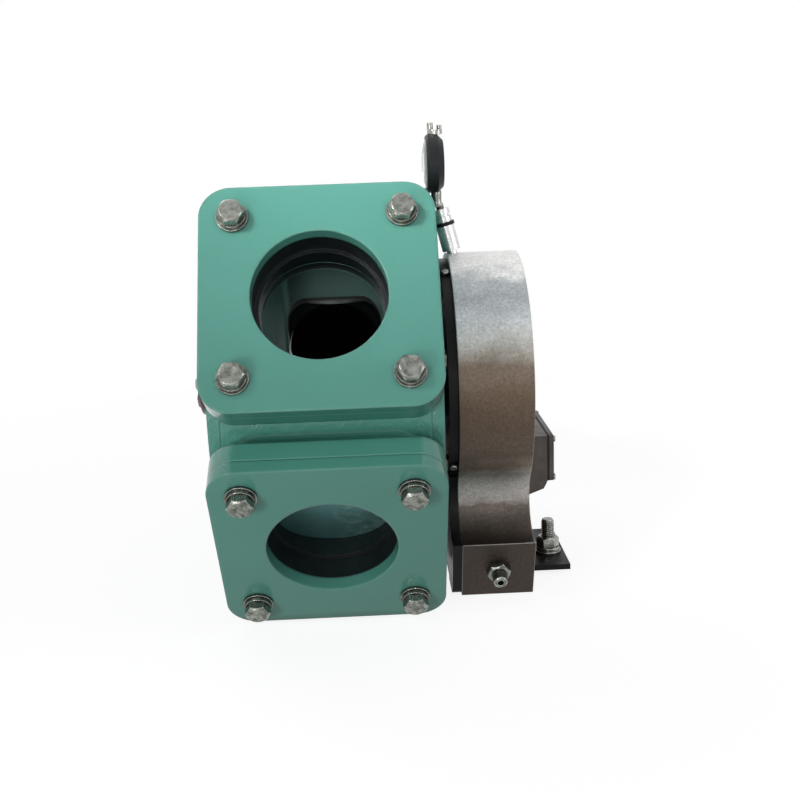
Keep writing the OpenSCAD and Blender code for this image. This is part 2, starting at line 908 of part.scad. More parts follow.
module throttle_lock_nuts() {
  color("silver") for (s = [-1, 1]) at_throttle(s) rotate([0, 0, 12]) {
    hex_head(1.5 * throttle_d, throttle_out - 1.5, throttle_d / 2);
  }
}

// Two air ports on the right end, above the axis
module at_air_ports() {
  for (s = [-1, 1]) at_plug_axis() translate([housing_end, s * air_port_y, air_port_z]) {
    rotate([0, 90, 0]) children();
  }
}

module air_port_plugs() {
  color("silver") at_air_ports() {
    translate([0, 0, -air_port_l]) difference() {
      cylinder(h = air_port_l - 1, r = air_port_r - fit_gap / 2);
      translate([0, 0, 4]) cylinder(h = air_port_l, r = air_port_r / 2, $fn = hex_fn);
    }
  }
}

// Local +Z points up into the foot, the origin on the bracket's underside
module at_bracket_bolts() {
  for (x = [plate_end + bracket_bolt_edge, housing_end - bracket_bolt_edge], s = [-1, 1]) {
    at_plug_axis() translate([x, s * bracket_bolt_side, -bracket_top - bracket_t]) children();
  }
}

module support_bracket() {
  color("black") difference() {
    at_plug_axis() translate([right_hub_end, -bracket_w / 2, -bracket_top - bracket_t]) {
      cube([bracket_end - right_hub_end, bracket_w, bracket_t]);
    }
    at_bracket_bolts() translate([0, 0, -cut]) {
      cylinder(h = bracket_t + 2 * cut, r = bracket_bolt_d / 2 + 0.4);
    }
    at_stud() translate([0, 0, -bracket_t - cut]) cylinder(h = bracket_t + 2 * cut, r = stud_d / 2);
    at_plug_axis() translate([stud_x, -stud_y + 6, -bracket_top - bracket_t - cut]) {
      cylinder(h = bracket_t + 2 * cut, r = bracket_hole_r);
    }
  }
}

module bracket_bolts() {
  color("silver") at_bracket_bolts() mirror([0, 0, 1]) {
    difference() {
      cylinder(h = slot_depth - bracket_t - 0.5, r = 0.8 * bracket_bolt_d);
      translate([0, 0, 2]) cylinder(h = bracket_bolt_d, r = 0.35 * bracket_bolt_d, $fn = hex_fn);
    }
    translate([0, 0, -bracket_bolt_l]) {
      cylinder(h = bracket_bolt_l + cut / 2, r = bracket_bolt_d / 2 - fit_gap / 2);
    }
  }
}

// Local +Z points up, the origin on the bracket's upper face
module at_stud() {
  at_plug_axis() translate([stud_x, stud_y, -bracket_top]) children();
}

module bracket_stud() {
  foot_l = bracket_t + 3;
  r = stud_d / 2 - fit_gap / 2;
  color("silver") at_stud() {
    translate([0, 0, -foot_l]) cylinder(h = foot_l + stud_h - 1, r = r);
    translate([0, 0, stud_h - 1]) cylinder(h = 1, r1 = r, r2 = r - 1);
  }
}

module stud_nut() {
  color("silver") at_stud() translate([0, 0, washer_t + spring_t]) hex_head(head_af, stud_nut_h, stud_d / 2);
}

module stud_washers() {
  color("lightgray") at_stud() {
    tube(washer_t, stud_d, stud_d / 2 + 0.5);
    translate([0, 0, washer_t + 0.05]) split_ring(spring_t - 0.1, 0.88 * stud_d, stud_d / 2 + 0.2);
  }
}

// Side view of the box: along the plug axis, and down from the box's top
module box_profile(l) {
  slope = 6;
  polygon([
    [0, 0],
    [l, 0],
    [l, -box_h + slope],
    [l - slope / 2, -box_h],
    [0, -box_h - slope]
  ]);
}

module at_box() {
  at_plug_axis() translate([housing_end, box_w / 2, -box_top]) rotate([90, 0, 0]) children();
}

module box_base() {
  color("dimgray") difference() {
    at_box() linear_extrude(box_w) box_profile(box_base_l);
    box_window(housing_end + box_wall, box_base_l);
    at_box_screws() translate([0, 0, 2 - box_screw_l]) cylinder(h = box_screw_l, r = box_screw_r);
    cable_entry() translate([0, 0, -2 * box_inset]) cylinder(h = 2 * box_inset + cut, r = entry_r);
  }
}

module box_plate(x, l, chamfer) {
  at_plug_axis() translate([x, 0, -box_top - box_face_h / 2]) rotate([90, 0, 90]) {
    linear_extrude(l) rounded_square([box_w, box_face_h], chamfer);
  }
}

// The clear room inside the box's walls
module box_window(x, l) {
  at_plug_axis() translate([x, -box_w / 2 + box_inset, -box_top - box_face_h + box_inset]) {
    cube([l, box_w - 2 * box_inset, box_face_h - 2 * box_inset]);
  }
}

module box_gasket() {
  color("black") difference() {
    box_plate(box_end, box_gasket_l, 4);
    box_window(box_end - cut, box_gasket_l + 2 * cut);
    at_box_screws() translate([0, 0, -cut]) cylinder(h = box_screw_l, r = box_screw_r);
  }
}

module box_cover() {
  color("gray") difference() {
    box_plate(box_end + box_gasket_l, box_cover_l, 5);
    at_box_screws() translate([0, 0, -cut]) cylinder(h = box_screw_l, r = box_screw_r + 0.3);
  }
}

// Local +Z points right, the origin on the base's open face
module at_box_screws() {
  for (y = [-1, 1], z = [-1, 1]) {
    at_plug_axis() translate([box_end, y * (box_w / 2 - box_screw_inset), -box_top - box_face_h / 2]) {
      translate([0, 0, z * (box_face_h / 2 - box_screw_inset)]) rotate([0, 90, 0]) children();
    }
  }
}

module box_screws() {
  color("silver") at_box_screws() translate([0, 0, box_gasket_l + box_cover_l]) {
    cylinder(h = 1.6, r = 2.8);
    translate([0, 0, -box_screw_l]) cylinder(h = box_screw_l + cut / 2, r = box_screw_r - fit_gap / 2);
  }
}

module terminal_block() {
  block_w = block_way * block_ways;
  color("beige") at_plug_axis() {
    translate([housing_end + box_wall, -block_w / 2, -box_top - (box_face_h + block_h) / 2]) difference() {
      cube([block_t, block_w, block_h]);
      for (i = [0:block_ways - 1]) translate([block_t / 2, (i + 0.5) * block_way, block_h / 2]) {
        rotate([0, 90, 0]) cylinder(h = block_t, r = 0.3 * block_way);
      }
    }
  }
}

// Local +Z points to the rear, out of the box's rear wall
module cable_entry() {
  at_plug_axis() translate([housing_end + box_base_l / 2, box_w / 2, -box_top - box_face_h / 2]) {
    rotate([-90, 0, 0]) children();
  }
}

module cable_entry_plug() {
  color("black") cable_entry() {
    hex_head(15, 5);
    translate([0, 0, -box_inset]) cylinder(h = box_inset + cut / 2, r = entry_r - fit_gap / 2);
  }
}

// Local +Z runs up the leaning regulator, the origin on the housing
module regulator_axis() {
  at_plug_axis() translate([regulator_x, 0, regulator_z]) {
    rotate([0, -regulator_lean, 0]) children();
  }
}

module regulator_barrel() {
  color("whitesmoke") regulator_axis() difference() {
    union() {
      translate([0, 0, 4]) cylinder(h = regulator_l - 4, r = regulator_d / 2);
      translate([0, 0, -10]) cylinder(h = 15, r = spud_r - fit_gap / 2);
    }
    translate([0, 0, regulator_l - 8]) cylinder(h = 10, r = 5);
  }
}

module regulator_collar() {
  color("black") regulator_axis() translate([0, 0, regulator_l]) tube(collar_h, regulator_d / 2 + 1, 5);
}

module regulator_cap() {
  color("silver") regulator_axis() translate([0, 0, regulator_l + collar_h]) difference() {
    cylinder(h = cap_plate_h, r = regulator_d / 2 - 0.5);
    translate([0, 0, -cut]) cylinder(h = cap_plate_h + 2 * cut, r = stem_r);
    translate([0, 0, cap_plate_h / 2 - 1]) tube(2, regulator_d, regulator_d / 2 - 2);
  }
}

// Local +Z points out of the dial, to the left
module at_gauge() {
  at_plug_axis() translate([gauge_face, 0, gauge_z]) rotate([0, -90, 0]) children();
}

module gauge_stem() {
  neck_bottom = regulator_z + (regulator_top + 2) * cos(regulator_lean);
  seat_top = gauge_z - gauge_r + 1.8;
  color("tan") {
    regulator_axis() translate([0, 0, regulator_l - 6]) {
      cylinder(h = regulator_top - regulator_l + 11, r = stem_r - fit_gap / 2);
    }
    at_plug_axis() translate([gauge_mid, 0, neck_bottom]) {
      cylinder(h = seat_top - neck_bottom, r = stem_neck_r);
    }
  }
}

// The case is a shallow cup with a cone at its back
module gauge_case() {
  back_h = 5;
  color("black") difference() {
    at_gauge() union() {
      translate([0, 0, -gauge_l + back_h]) cylinder(h = gauge_l - back_h, r = gauge_r);
      translate([0, 0, -gauge_l]) cylinder(h = back_h, r1 = gauge_r - back_h, r2 = gauge_r);
    }
    at_gauge() translate([0, 0, -gauge_l + 7]) cylinder(h = gauge_l, r = gauge_r - 2);
    at_plug_axis() translate([gauge_mid, 0, gauge_z - gauge_r - 4]) {
      cylinder(h = 7, r = stem_neck_r + fit_gap / 2);
    }
  }
}

module gauge_dial() {
  color("white") at_gauge() translate([0, 0, -4]) tube(1, gauge_r - 2 - fit_gap, 1.6);
}

module gauge_bezel() {
  color("silver") at_gauge() difference() {
    cylinder(h = bezel_l, r1 = gauge_r, r2 = gauge_r - 1.5);
    translate([0, 0, -cut]) cylinder(h = bezel_l + 2 * cut, r = gauge_r - 4);
  }
}

// A shallow dome, cut from a sphere
module gauge_glass() {
  glass_r = gauge_r - 4 - fit_gap;
  dome_r = (glass_r * glass_r + glass_rise * glass_rise) / (2 * glass_rise);
  color([0.8, 0.9, 0.95, 0.4]) at_gauge() translate([0, 0, bezel_l - 2]) {
    cylinder(h = 2, r = glass_r);
    intersection() {
      translate([0, 0, 2 + glass_rise - dome_r]) sphere(r = dome_r);
      translate([0, 0, 1.5]) cylinder(h = glass_rise + cut, r = glass_r);
    }
  }
}

module gauge_vent_clip() {
  color("silver") at_plug_axis() translate([gauge_face + gauge_l / 2, 0, gauge_z + gauge_r - 0.5]) {
    difference() {
      cylinder(h = 4, r = 6.5);
      translate([0, 0, -gauge_r + 0.5]) rotate([0, 90, 0]) {
        cylinder(h = 2 * gauge_l, r = gauge_r, center = true);
      }
    }
    translate([-4, 0, 3]) cylinder(h = 7, r = 2.6);
    translate([4, 0, 3]) cylinder(h = 5, r = 2.2);
  }
}

// Needle and its short shaft, pointing at the low end of the scale
module gauge_needle() {
  color("red") at_gauge() translate([0, 0, -2.6]) {
    cylinder(h = 1.4, r = 2.6);
    translate([0, 0, -2]) cylinder(h = 2.5, r = 1.5);
    rotate(needle_rest) linear_extrude(0.6) {
      polygon([[-5, -1], [gauge_r - 8, -0.3], [gauge_r - 8, 0.3], [-5, 1]]);
    }
  }
}

valve_body();
upper_clamp_plate();
lower_clamp_plate();
inlet_clamp_plate();
upper_port_sleeve();
lower_port_sleeve();
inlet_port_sleeve();
flange_bolts();
flange_washers();
flange_spring_washers();
left_end_cover();
right_end_cover();
cover_bolts_left();
cover_bolts_right();
cover_seals();
left_bearing();
right_bearing();
shaft_seals();
plug();
idle_shaft();
drive_shaft();
indicator_cap();
indicator_screw();
mounting_plate();
plate_edge_screws();
plate_bolts();
actuator_bolts();
actuator_housing();
actuator_cover();
rotor_bushes();
vane_rotor();
vane_seal();
shoe_seals();
throttle_screws();
throttle_lock_nuts();
air_port_plugs();
support_bracket();
bracket_bolts();
bracket_stud();
stud_nut();
stud_washers();
box_base();
box_gasket();
box_cover();
box_screws();
terminal_block();
cable_entry_plug();
regulator_barrel();
regulator_collar();
regulator_cap();
gauge_stem();
gauge_case();
gauge_dial();
gauge_bezel();
gauge_glass();
gauge_vent_clip();
gauge_needle();
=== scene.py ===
import json
import math

import bmesh
import bpy
from mathutils import Matrix, Vector


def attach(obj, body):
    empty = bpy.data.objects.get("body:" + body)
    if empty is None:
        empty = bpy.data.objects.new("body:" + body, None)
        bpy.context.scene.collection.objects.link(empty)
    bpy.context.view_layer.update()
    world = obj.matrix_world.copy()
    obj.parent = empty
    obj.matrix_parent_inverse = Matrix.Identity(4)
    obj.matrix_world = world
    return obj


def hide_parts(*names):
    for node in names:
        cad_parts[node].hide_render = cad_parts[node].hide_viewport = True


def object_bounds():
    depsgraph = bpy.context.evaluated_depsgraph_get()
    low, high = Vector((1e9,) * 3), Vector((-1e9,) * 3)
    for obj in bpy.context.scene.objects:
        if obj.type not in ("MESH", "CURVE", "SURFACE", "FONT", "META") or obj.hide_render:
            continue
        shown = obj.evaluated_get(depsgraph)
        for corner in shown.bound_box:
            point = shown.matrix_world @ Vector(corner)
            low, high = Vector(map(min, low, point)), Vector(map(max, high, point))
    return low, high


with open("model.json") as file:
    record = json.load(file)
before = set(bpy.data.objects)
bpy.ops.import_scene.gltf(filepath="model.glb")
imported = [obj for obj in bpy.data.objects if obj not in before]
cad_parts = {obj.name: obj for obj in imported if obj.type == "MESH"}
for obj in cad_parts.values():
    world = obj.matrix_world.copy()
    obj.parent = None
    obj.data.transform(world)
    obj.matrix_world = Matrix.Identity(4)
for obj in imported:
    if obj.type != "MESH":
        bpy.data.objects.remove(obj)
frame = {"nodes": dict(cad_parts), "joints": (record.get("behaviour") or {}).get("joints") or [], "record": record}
cad_box = [list(corner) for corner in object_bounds()]
NODES = frame["nodes"]


def node_box(name):
    """Lowest and highest corner of a CAD node in the row frame, in metres."""
    points = [vertex.co for vertex in NODES[name].data.vertices]
    return [Vector([end(point[i] for point in points) for i in range(3)]) for end in (min, max)]


# Places and sizes that the frame gives. All lengths in this script are in metres.
JOINT_AT = {joint["name"]: joint["pos_m"] for joint in frame["joints"]}
PLUG_AXIS_Y = JOINT_AT["plug_turn"][1]
PLUG_R = max(math.hypot(v.co.y - PLUG_AXIS_Y, v.co.z) for v in NODES["plug"].data.vertices)
GAUGE_Z = JOINT_AT["needle_turn"][2]
DIAL_X = node_box("gauge_dial")[0].x
END_COVER_R = node_box("left_end_cover")[1].z
VALVE_LOWEST_Z = cad_box[0][2]

# Distances from the plug's axis: where the cut edges of the drum's openings, painted near black as painted shade,
# start, where the drum's inside colour, partly painted light, gives way to its outside, and where the rough
# casting ends
DRUM_RIM_R = PLUG_R - 0.0115
DRUM_INNER_R = PLUG_R - 0.0087
ROUGH_CAST_R = END_COVER_R + 0.002

# Heights between which the silver casting's painted light and shade by height lie, and those of its painted
# highlight band at the waist
SILVER_LOW_Z, SILVER_HIGH_Z = -0.16, 0.11
HIGHLIGHT_BAND_LOW_Z, HIGHLIGHT_BAND_HIGH_Z = -0.105, -0.065

# Shading: rays per sample of the corner and edge nodes, and the cosines between a face's
# normal and its rounded one at which the paler edge tint, wear and painted highlight, starts and is full
CORNER_SAMPLES = 8
EDGE_SAMPLES = 6
EDGE_TINT_START, EDGE_TINT_FULL = 0.98, 0.82
COAT_ROUGHNESS = 0.05

# The Mix node's sockets for colours; those between them are for numbers and vectors
MIX_SHARE, MIX_A, MIX_B, MIX_RESULT = 0, 6, 7, 2

# Stud thread: one pitch is a row of (share of the pitch, on the crest or in the root)
THREAD_PITCH = 0.00175
THREAD_SHAPE = ((0.12, False), (0.45, True), (0.55, True), (0.88, False))
THREAD_DEPTH = 0.62 * THREAD_PITCH
THREAD_INSET = 0.00001
THREAD_TIP_CHAMFER = 0.0012
THREAD_TIP_HEIGHT = 0.0011
THREAD_STEPS = 40
THREAD_SHARP_DEG = 50

# The dial's scale, clockwise from straight up; each kind of tick is (every how many steps,
# inner radius, half width)
DIAL_STEPS = 50
DIAL_START_DEG, DIAL_SWEEP_DEG = -135, 270
DIAL_TICK_KINDS = ((10, 0.0135, 0.00030), (5, 0.0148, 0.00022), (1, 0.0160, 0.00014))
DIAL_TICK_OUTER_R = 0.0178
DIAL_TICK_BACK_X, DIAL_TICK_FRONT_X = DIAL_X - 0.0001, DIAL_X - 0.00035

# Faces of a bar whose corners are listed as its back face and then its front face
BAR_FACES = ((0, 1, 2, 3), (7, 6, 5, 4), (0, 4, 5, 1), (1, 5, 6, 2), (2, 6, 7, 3), (3, 7, 4, 0))

# Round floor, just under the valve's lowest point
FLOOR_Z = VALVE_LOWEST_Z - 0.0002
FLOOR_R = 0.78
FLOOR_CENTRE_Y = PLUG_AXIS_Y + 0.1
FLOOR_STEPS = 96
FLOOR_COLOUR = (0.34, 0.34, 0.336)
FLOOR_WHITE = (0.86, 0.86, 0.86)

# Painted-shade card: a dark sheet far behind the valve that fills, for the camera, the window in the inlet's plane
CARD_Y = 5.0
CARD_WINDOW_Y = 0.004
CARD_WINDOW_X = 0.056
CARD_WINDOW_LOW_Z, CARD_WINDOW_HIGH_Z = -0.070, 0.056

# Surroundings and light
WORLD_LIGHT = 0.12
WORLD_COLOUR = (0.94, 0.97, 1.0)
VALVE_CENTRE = (0.02, PLUG_AXIS_Y, 0.0)
WARM_WHITE = (1.0, 0.98, 0.95)
WHITE = (1.0, 1.0, 1.0)
FULL_SPREAD = 180.0

# Area lights: name, place, target, size, power, colour, spread in degrees
LIGHTS = (
    ("key", (-0.50, -0.85, 0.75), (0.04, -0.25, 0.29), (0.3, 0.3), 0.66, (1.0, 0.99, 0.97), 36.0),
    ("low", (-0.50, -1.20, 0.00), VALVE_CENTRE, (0.25, 0.25), 2.7, WARM_WHITE, FULL_SPREAD),
    ("front", (-0.02, -1.45, 0.21), VALVE_CENTRE, (0.2, 0.2), 2.0, WARM_WHITE, FULL_SPREAD),
    ("side", (0.95, -0.65, 0.25), VALVE_CENTRE, (0.4, 0.4), 1.8, WHITE, FULL_SPREAD),
    ("top", (0.25, -0.20, 1.30), VALVE_CENTRE, (1.0, 0.8), 1.4, WHITE, FULL_SPREAD),
    ("rear", (-0.7, 0.7, 0.9), VALVE_CENTRE, (1.0, 0.8), 4.0, WHITE, FULL_SPREAD),
)

# Worked out from the photograph's bolts and plate corners; turns about Z, X, Y in radians
CAMERA_AT = (0.03577, -1.16310, 0.19816)
CAMERA_TURN = (0.0347, 0.2237, -0.0429)
CAMERA_FOCAL_PX = 1085.28
IMAGE_PX = 800
SENSOR_MM = 36.0


# Materials


def empty_tree(owner):
    """Clears the nodes of a material or world and returns its nodes and links."""
    owner.use_nodes = True
    tree = owner.node_tree
    tree.nodes.clear()
    return tree.nodes, tree.links


class Graph:
    """Builds one node material round a Principled shader.

    Its textures lie in the row frame in metres, so a noise scale is in waves per metre.
    """

    def __init__(self, name):
        self.material = bpy.data.materials.new(name)
        self.nodes, self.links = empty_tree(self.material)
        output = self.nodes.new("ShaderNodeOutputMaterial")
        self.shader = self.nodes.new("ShaderNodeBsdfPrincipled")
        self.links.new(self.shader.outputs[0], output.inputs[0])
        self.coords = self.nodes.new("ShaderNodeTexCoord").outputs["Object"]
        self.normal = None

    def feed(self, socket, value):
        """Sets a socket to a number or a colour, or links another socket to it."""
        if isinstance(value, (int, float)):
            socket.default_value = value
        elif isinstance(value, tuple):
            socket.default_value = (*value, 1.0)
        else:
            self.links.new(value, socket)

    def stretch(self, scale, turn=(0, 0, 0)):
        """Texture space with another scale on each axis, to draw a grain out."""
        mapping = self.nodes.new("ShaderNodeMapping")
        mapping.inputs["Scale"].default_value = scale
        mapping.inputs["Rotation"].default_value = turn
        self.links.new(self.coords, mapping.inputs["Vector"])
        return mapping.outputs[0]

    def noise(self, scale, detail, rough=0.55, space=None):
        node = self.nodes.new("ShaderNodeTexNoise")
        node.inputs["Scale"].default_value = scale
        node.inputs["Detail"].default_value = detail
        node.inputs["Roughness"].default_value = rough
        self.links.new(space or self.coords, node.inputs["Vector"])
        return node.outputs["Fac"]

    def grain(self, scale):
        """Fine parallel lines: noise whose scale is given for each axis."""
        return self.noise(1.0, 2.0, 0.5, self.stretch(scale))

    def cells(self, scale):
        """Distance to the nearest of many scattered points."""
        node = self.nodes.new("ShaderNodeTexVoronoi")
        node.inputs["Scale"].default_value = scale
        self.links.new(self.coords, node.inputs["Vector"])
        return node.outputs["Distance"]

    def remap(self, value, low, high, to_low=0.0, to_high=1.0):
        """Maps low to to_low and high to to_high, and clamps beyond them."""
        node = self.nodes.new("ShaderNodeMapRange")
        node.clamp = True
        for index, number in enumerate((low, high, to_low, to_high), 1):
            node.inputs[index].default_value = number
        self.links.new(value, node.inputs[0])
        return node.outputs[0]

    def between(self, mask, at_0, at_1):
        """A number that goes from at_0 to at_1 while the mask goes from 0 to 1."""
        return self.remap(mask, 0.0, 1.0, at_0, at_1)

    def math(self, kind, a, b):
        """One math node. Products serve as shares, so they are clamped to 0..1."""
        node = self.nodes.new("ShaderNodeMath")
        node.operation = kind
        node.use_clamp = kind == "MULTIPLY"
        self.feed(node.inputs[0], a)
        self.feed(node.inputs[1], b)
        return node.outputs[0]

    def vector_math(self, kind, *values):
        """One vector math node, which gives a number for lengths and dot products."""
        node = self.nodes.new("ShaderNodeVectorMath")
        node.operation = kind
        for socket, value in zip(node.inputs, values):
            if isinstance(value, tuple):
                socket.default_value = value
            else:
                self.links.new(value, socket)
        return node.outputs["Value" if kind in ("LENGTH", "DOT_PRODUCT") else "Vector"]

    def component(self, vector, index):
        split = self.nodes.new("ShaderNodeSeparateXYZ")
        self.links.new(vector, split.inputs[0])
        return split.outputs[index]

    def waver(self, value, noise, low, high, reach):
        """Lets a place wander by up to the reach, so that a border isn't straight."""
        return self.math("ADD", value, self.remap(noise, low, high, -reach, reach))

    def mix(self, share, a, b, kind="MIX"):
        node = self.nodes.new("ShaderNodeMix")
        node.data_type = "RGBA"
        node.blend_type = kind
        for index, value in ((MIX_SHARE, share), (MIX_A, a), (MIX_B, b)):
            self.feed(node.inputs[index], value)
        return node.outputs[MIX_RESULT]

    def tint(self, colour, mask, strength, other, kind="MIX"):
        """Brings another colour in where the mask is 1, at a given strength."""
        return self.mix(self.math("MULTIPLY", mask, strength), colour, other, kind)

    def ramp(self, value, stops):
        node = self.nodes.new("ShaderNodeValToRGB")
        points = node.color_ramp.elements
        while len(points) < len(stops):
            points.new(0.5)
        for point, (place, colour) in zip(points, stops):
            point.position = place
            point.color = (*colour, 1.0)
        self.links.new(value, node.inputs[0])
        return node.outputs[0]

    def grey_ramp(self, value, stops):
        return self.ramp(value, [(place, (level, level, level)) for place, level in stops])

    def along_axis(self):
        """Place along the plug's axis, from the middle of the body, in metres."""
        return self.component(self.coords, 0)

    def height(self):
        """Height above the plug's axis, in metres."""
        return self.component(self.coords, 2)

    def axis_distance(self):
        """Distance from the plug's axis, in metres."""
        from_axis = self.vector_math("ADD", self.coords, (0.0, -PLUG_AXIS_Y, 0.0))
        across = self.vector_math("MULTIPLY", from_axis, (0.0, 1.0, 1.0))
        return self.vector_math("LENGTH", across)

    def facing_up(self):
        """-1 for faces that look down, 1 for faces that look up."""
        geometry = self.nodes.new("ShaderNodeNewGeometry")
        return self.component(geometry.outputs["Normal"], 2)

    def openness(self, distance, closed, clear):
        """0 in tight corners, 1 on open faces."""
        node = self.nodes.new("ShaderNodeAmbientOcclusion")
        node.samples = CORNER_SAMPLES
        node.inputs["Distance"].default_value = distance
        return self.remap(node.outputs["AO"], closed, clear)

    def round_edges(self, radius):
        """Starts the shading normal with edges that look rounded."""
        node = self.nodes.new("ShaderNodeBevel")
        node.samples = EDGE_SAMPLES
        node.inputs["Radius"].default_value = radius
        self.normal = node.outputs[0]

    def worn_and_highlit_edges(self):
        """1 where round_edges turned the normal away from the face's own; the materials tint these edges paler,
        partly as wear and partly as a painted highlight.
        """
        face = self.nodes.new("ShaderNodeNewGeometry").outputs["True Normal"]
        turned = self.vector_math("DOT_PRODUCT", self.normal, face)
        return self.remap(turned, EDGE_TINT_START, EDGE_TINT_FULL)

    def bump(self, value, distance, strength):
        node = self.nodes.new("ShaderNodeBump")
        node.inputs["Distance"].default_value = distance
        node.inputs["Strength"].default_value = strength
        self.links.new(value, node.inputs["Height"])
        if self.normal is not None:
            self.links.new(self.normal, node.inputs["Normal"])
        self.normal = node.outputs[0]

    def finish(self, colour, roughness, metallic=0.0, coat=0.0, specular=0.5):
        for name, value in (
            ("Base Color", colour),
            ("Roughness", roughness),
            ("Metallic", metallic),
            ("Coat Weight", coat),
            ("Coat Roughness", COAT_ROUGHNESS),
            ("Specular IOR Level", specular),
        ):
            self.feed(self.shader.inputs[name], value)
        if self.normal is not None:
            self.links.new(self.normal, self.shader.inputs["Normal"])
        return self.material


def scaled(colour, factor):
    """A lighter or darker colour, at most 0.9 bright."""
    return tuple(min(0.9, factor * channel) for channel in colour)


def green_paint():
    """Glossy paint: smooth on the plates, over rough casting on the round body."""
    g = Graph("green_paint")
    drift = g.remap(g.noise(7.0, 2.0), 0.3, 0.7)
    colour = g.mix(drift, (0.096, 0.340, 0.278), (0.112, 0.375, 0.310))
    # Painted shade: the green turns darker in tight corners and between parts.
    colour = g.mix(g.openness(0.012, 0.35, 0.85), (0.050, 0.190, 0.150), colour)
    specks = g.remap(g.noise(420.0, 2.0), 0.66, 0.74)
    colour = g.tint(colour, specks, 0.15, (0.07, 0.20, 0.16))
    casting = g.remap(g.axis_distance(), ROUGH_CAST_R, ROUGH_CAST_R + 0.001, 1.0, 0.0)
    g.round_edges(0.0030)
    # Paler edges: partly wear of the paint, partly a painted highlight.
    colour = g.tint(colour, g.worn_and_highlit_edges(), 0.30, (0.30, 0.56, 0.50))
    g.bump(g.noise(40.0, 2.0), 0.0008, 0.25)
    g.bump(g.math("MULTIPLY", g.noise(210.0, 3.0, 0.6), casting), 0.0012, 0.8)
    rough = g.remap(g.noise(35.0, 3.0), 0.3, 0.75, 0.17, 0.28)
    return g.finish(colour, rough, coat=0.35, specular=0.22)


def cast_silver():
    """Sand-cast aluminium with painted light and shade by height: near white above, dark brown below, and a
    painted highlight band at the waist.
    """
    g = Graph("cast_silver")
    fine = g.noise(950.0, 4.0, 0.7)
    # Painted light and shade: the colour runs by height from dark brown at the foot to near white at the top, with
    # a brighter stop low on the round part.
    level = g.waver(g.height(), g.noise(34.0, 3.0), 0.25, 0.75, 0.006)
    colour = g.ramp(g.remap(level, SILVER_LOW_Z, SILVER_HIGH_Z), (
        (0.00, (0.064, 0.048, 0.039)),
        (0.12, (0.064, 0.050, 0.042)),
        (0.18, (0.105, 0.090, 0.078)),
        (0.34, (0.280, 0.225, 0.185)),
        (0.40, (0.130, 0.104, 0.083)),
        (0.47, (0.126, 0.092, 0.069)),
        (0.60, (0.142, 0.101, 0.073)),
        (0.69, (0.172, 0.136, 0.108)),
        (0.735, (0.370, 0.355, 0.325)),
        (0.78, (0.600, 0.625, 0.620)),
        (0.82, (0.590, 0.635, 0.660)),
        (0.88, (0.375, 0.416, 0.440)),
        (0.925, (0.460, 0.500, 0.520)),
        (0.965, (0.960, 0.970, 0.970)),
    ))
    # Painted highlight: a near-white band round the waist, and less metallic there so that it shows.
    level = g.waver(g.height(), g.noise(90.0, 4.0), 0.2, 0.8, 0.003)
    highlight_band = g.grey_ramp(g.remap(level, HIGHLIGHT_BAND_LOW_Z, HIGHLIGHT_BAND_HIGH_Z), (
        (0.04, 0.0), (0.34, 0.7), (0.52, 0.9), (0.72, 0.7), (1.00, 0.0),
    ))
    colour = g.mix(highlight_band, colour, (0.95, 0.92, 0.90))
    cloud = g.remap(g.noise(95.0, 6.0, 0.7, g.stretch((0.5, 1.0, 1.0))), 0.3, 0.72)
    colour = g.tint(colour, cloud, 0.22, (0.55, 0.53, 0.50), "MULTIPLY")
    fleck = g.remap(g.noise(420.0, 3.0, 0.7), 0.30, 0.70)
    colour = g.tint(colour, fleck, 0.72, (0.50, 0.48, 0.46), "MULTIPLY")
    pits = g.remap(g.cells(620.0), 0.05, 0.30, 0.55, 1.0)
    colour = g.mix(g.math("SUBTRACT", 1.0, pits), colour, (0.05, 0.04, 0.035))
    g.round_edges(0.0016)
    # Paler edges: partly wear, partly a painted highlight.
    colour = g.tint(colour, g.worn_and_highlit_edges(), 0.45, (0.62, 0.59, 0.56))
    g.bump(g.noise(120.0, 4.0, 0.6), 0.0007, 0.45)
    g.bump(fine, 0.00035, 0.8)
    rough = g.remap(fine, 0.3, 0.7, 0.28, 0.46)
    return g.finish(colour, rough, metallic=g.between(highlight_band, 0.82, 0.10))


